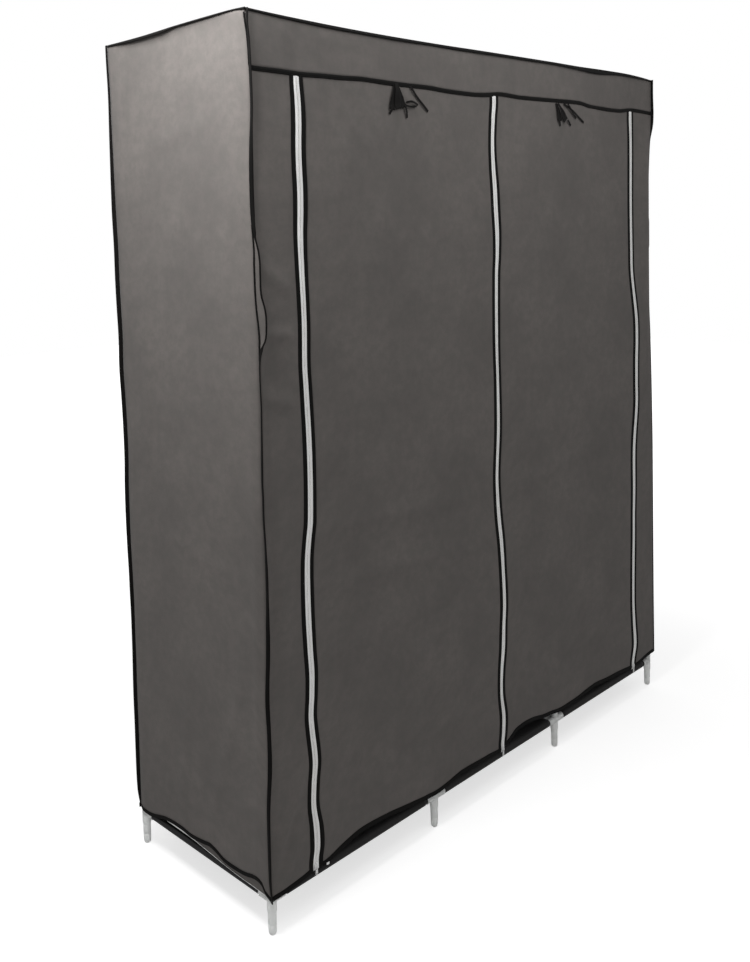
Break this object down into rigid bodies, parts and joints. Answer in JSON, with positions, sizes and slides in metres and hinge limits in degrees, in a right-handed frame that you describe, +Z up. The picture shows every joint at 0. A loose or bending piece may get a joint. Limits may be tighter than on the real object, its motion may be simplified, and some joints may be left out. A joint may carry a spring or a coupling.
{
  "type": "portable fabric wardrobe",
  "caption": "Free-standing fabric wardrobe: grey non-woven cover with zipped front flaps over a tube frame with shelves, hanging rails and peg feet.",
  "frame": {"origin": "middle of the footprint, on the floor", "axes": "+X to the right along the front, +Y from the front to the back, +Z up"},
  "size_m": [1.5, 0.45, 1.75],
  "materials": {
    "cover_cloth": "matt embossed non-woven",
    "black_tape": "matt woven tape",
    "shelf_cloth": "matt non-woven with a slight sheen",
    "zip_tape": "white tape with a plastic coil",
    "zip_metal": "plated",
    "tube_steel": "black satin powder coat",
    "connector_plastic": "pale grey, slightly translucent"
  },
  "bodies": {
    "wardrobe": {"foot_front_1": "connector_plastic", "upright_front_1": "tube_steel", "foot_front_2": "connector_plastic", "upright_front_2": "tube_steel", "foot_front_3": "connector_plastic", "upright_front_3": "tube_steel", "foot_front_4": "connector_plastic", "upright_front_4": "tube_steel", "top_front_tube": "tube_steel", "foot_back_1": "connector_plastic", "upright_back_1": "tube_steel", "foot_back_2": "connector_plastic", "upright_back_2": "tube_steel", "foot_back_3": "connector_plastic", "upright_back_3": "tube_steel", "foot_back_4": "connector_plastic", "upright_back_4": "tube_steel", "top_back_tube": "tube_steel", "top_cross_tube_1": "tube_steel", "top_cross_tube_2": "tube_steel", "top_cross_tube_3": "tube_steel", "top_cross_tube_4": "tube_steel", "base_left_tube": "tube_steel", "middle_left_tube": "tube_steel", "rail_left": "tube_steel", "shelf_left_base": "shelf_cloth", "base_right_tube": "tube_steel", "middle_right_tube": "tube_steel", "rail_right": "tube_steel", "shelf_right_base": "shelf_cloth", "shelf_middle_1": "shelf_cloth", "shelf_middle_2": "shelf_cloth", "shelf_middle_3": "shelf_cloth", "shelf_middle_4": "shelf_cloth", "cover_left_side": "cover_cloth", "cover_right_side": "cover_cloth", "cover_back": "cover_cloth", "cover_roof": "cover_cloth", "cover_header": "cover_cloth", "cover_left_strip": "cover_cloth", "cover_right_strip": "cover_cloth", "cover_binding": "black_tape", "zip_left_tape_a": "zip_tape", "zip_right_tape_b": "zip_tape"},
    "left_door": {"left_door": "cover_cloth", "left_door_binding": "black_tape", "left_tie": "black_tape", "zip_left_tape_b": "zip_tape", "zip_centre_tape_a": "zip_tape"},
    "right_door": {"right_door": "cover_cloth", "right_door_binding": "black_tape", "right_tie": "black_tape", "zip_centre_tape_b": "zip_tape", "zip_right_tape_a": "zip_tape"},
    "left_slider": {"zip_left_slider": "zip_metal"},
    "left_pull": {"zip_left_pull": "zip_metal"},
    "centre_slider": {"zip_centre_slider": "zip_metal"},
    "centre_pull": {"zip_centre_pull": "zip_metal"},
    "right_slider": {"zip_right_slider": "zip_metal"},
    "right_pull": {"zip_right_pull": "zip_metal"}
  },
  "joints": [
    {"name": "left_door_lift", "type": "hinge", "parent": "wardrobe", "child": "left_door", "pos_m": [-0.314, -0.2219, 1.6457], "axis": [-1, 0, 0], "range_deg": [0, 100]},
    {"name": "right_door_lift", "type": "hinge", "parent": "wardrobe", "child": "right_door", "pos_m": [0.314, -0.2219, 1.6457], "axis": [-1, 0, 0], "range_deg": [0, 100]},
    {"name": "left_slider_run", "type": "slide", "parent": "wardrobe", "child": "left_slider", "axis": [0, 0, 1], "range_m": [0, 1.5401]},
    {"name": "left_pull_swing", "type": "hinge", "parent": "left_slider", "child": "left_pull", "pos_m": [-0.628, -0.22335, 0.0948], "axis": [-1, 0, 0], "range_deg": [0, 115]},
    {"name": "centre_slider_run", "type": "slide", "parent": "wardrobe", "child": "centre_slider", "axis": [0, 0, 1], "range_m": [0, 1.5401]},
    {"name": "centre_pull_swing", "type": "hinge", "parent": "centre_slider", "child": "centre_pull", "pos_m": [0, -0.22335, 0.0948], "axis": [-1, 0, 0], "range_deg": [0, 115]},
    {"name": "right_slider_run", "type": "slide", "parent": "wardrobe", "child": "right_slider", "axis": [0, 0, 1], "range_m": [0, 1.5401]},
    {"name": "right_pull_swing", "type": "hinge", "parent": "right_slider", "child": "right_pull", "pos_m": [0.628, -0.22335, 0.0948], "axis": [-1, 0, 0], "range_deg": [0, 115]}
  ]
}
